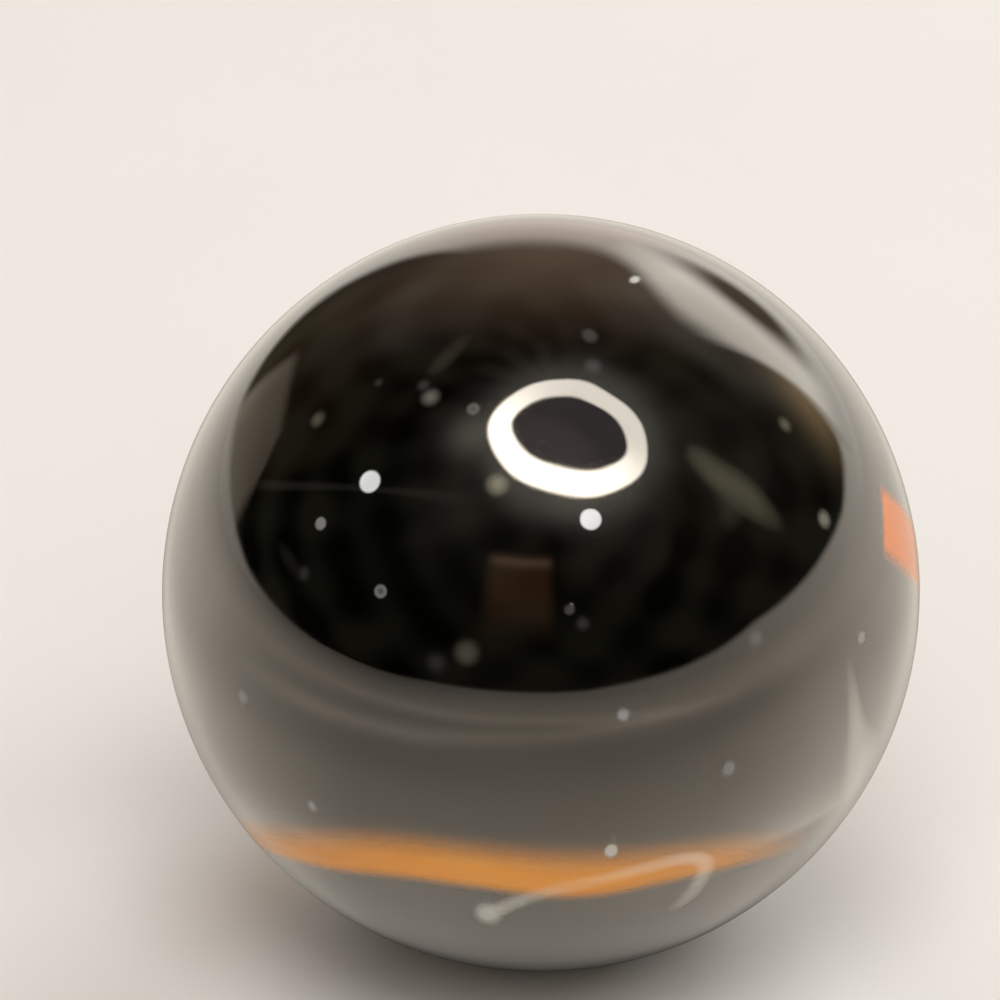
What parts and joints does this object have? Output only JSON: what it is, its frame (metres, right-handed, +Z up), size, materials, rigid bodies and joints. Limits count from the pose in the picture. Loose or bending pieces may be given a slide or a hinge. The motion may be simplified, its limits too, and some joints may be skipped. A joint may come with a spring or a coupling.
{
  "type": "glass marble",
  "caption": "Solid ball of near-black glass with seed bubbles and a ribbon of orange glass laid into its skin.",
  "frame": {"origin": "centre of the ball", "axes": "+Z up through the ball; the side with the ribbon's wide crescent faces -Y, and the blunt end of the ribbon is at +X"},
  "size_m": [0.016, 0.016, 0.016],
  "materials": {
    "dark_glass": "fire-polished, almost opaque",
    "orange_glass": "fire-polished, opaque"
  },
  "bodies": {
    "root": {"glass_body": "dark_glass", "orange_ribbon": "orange_glass"}
  },
  "joints": []
}
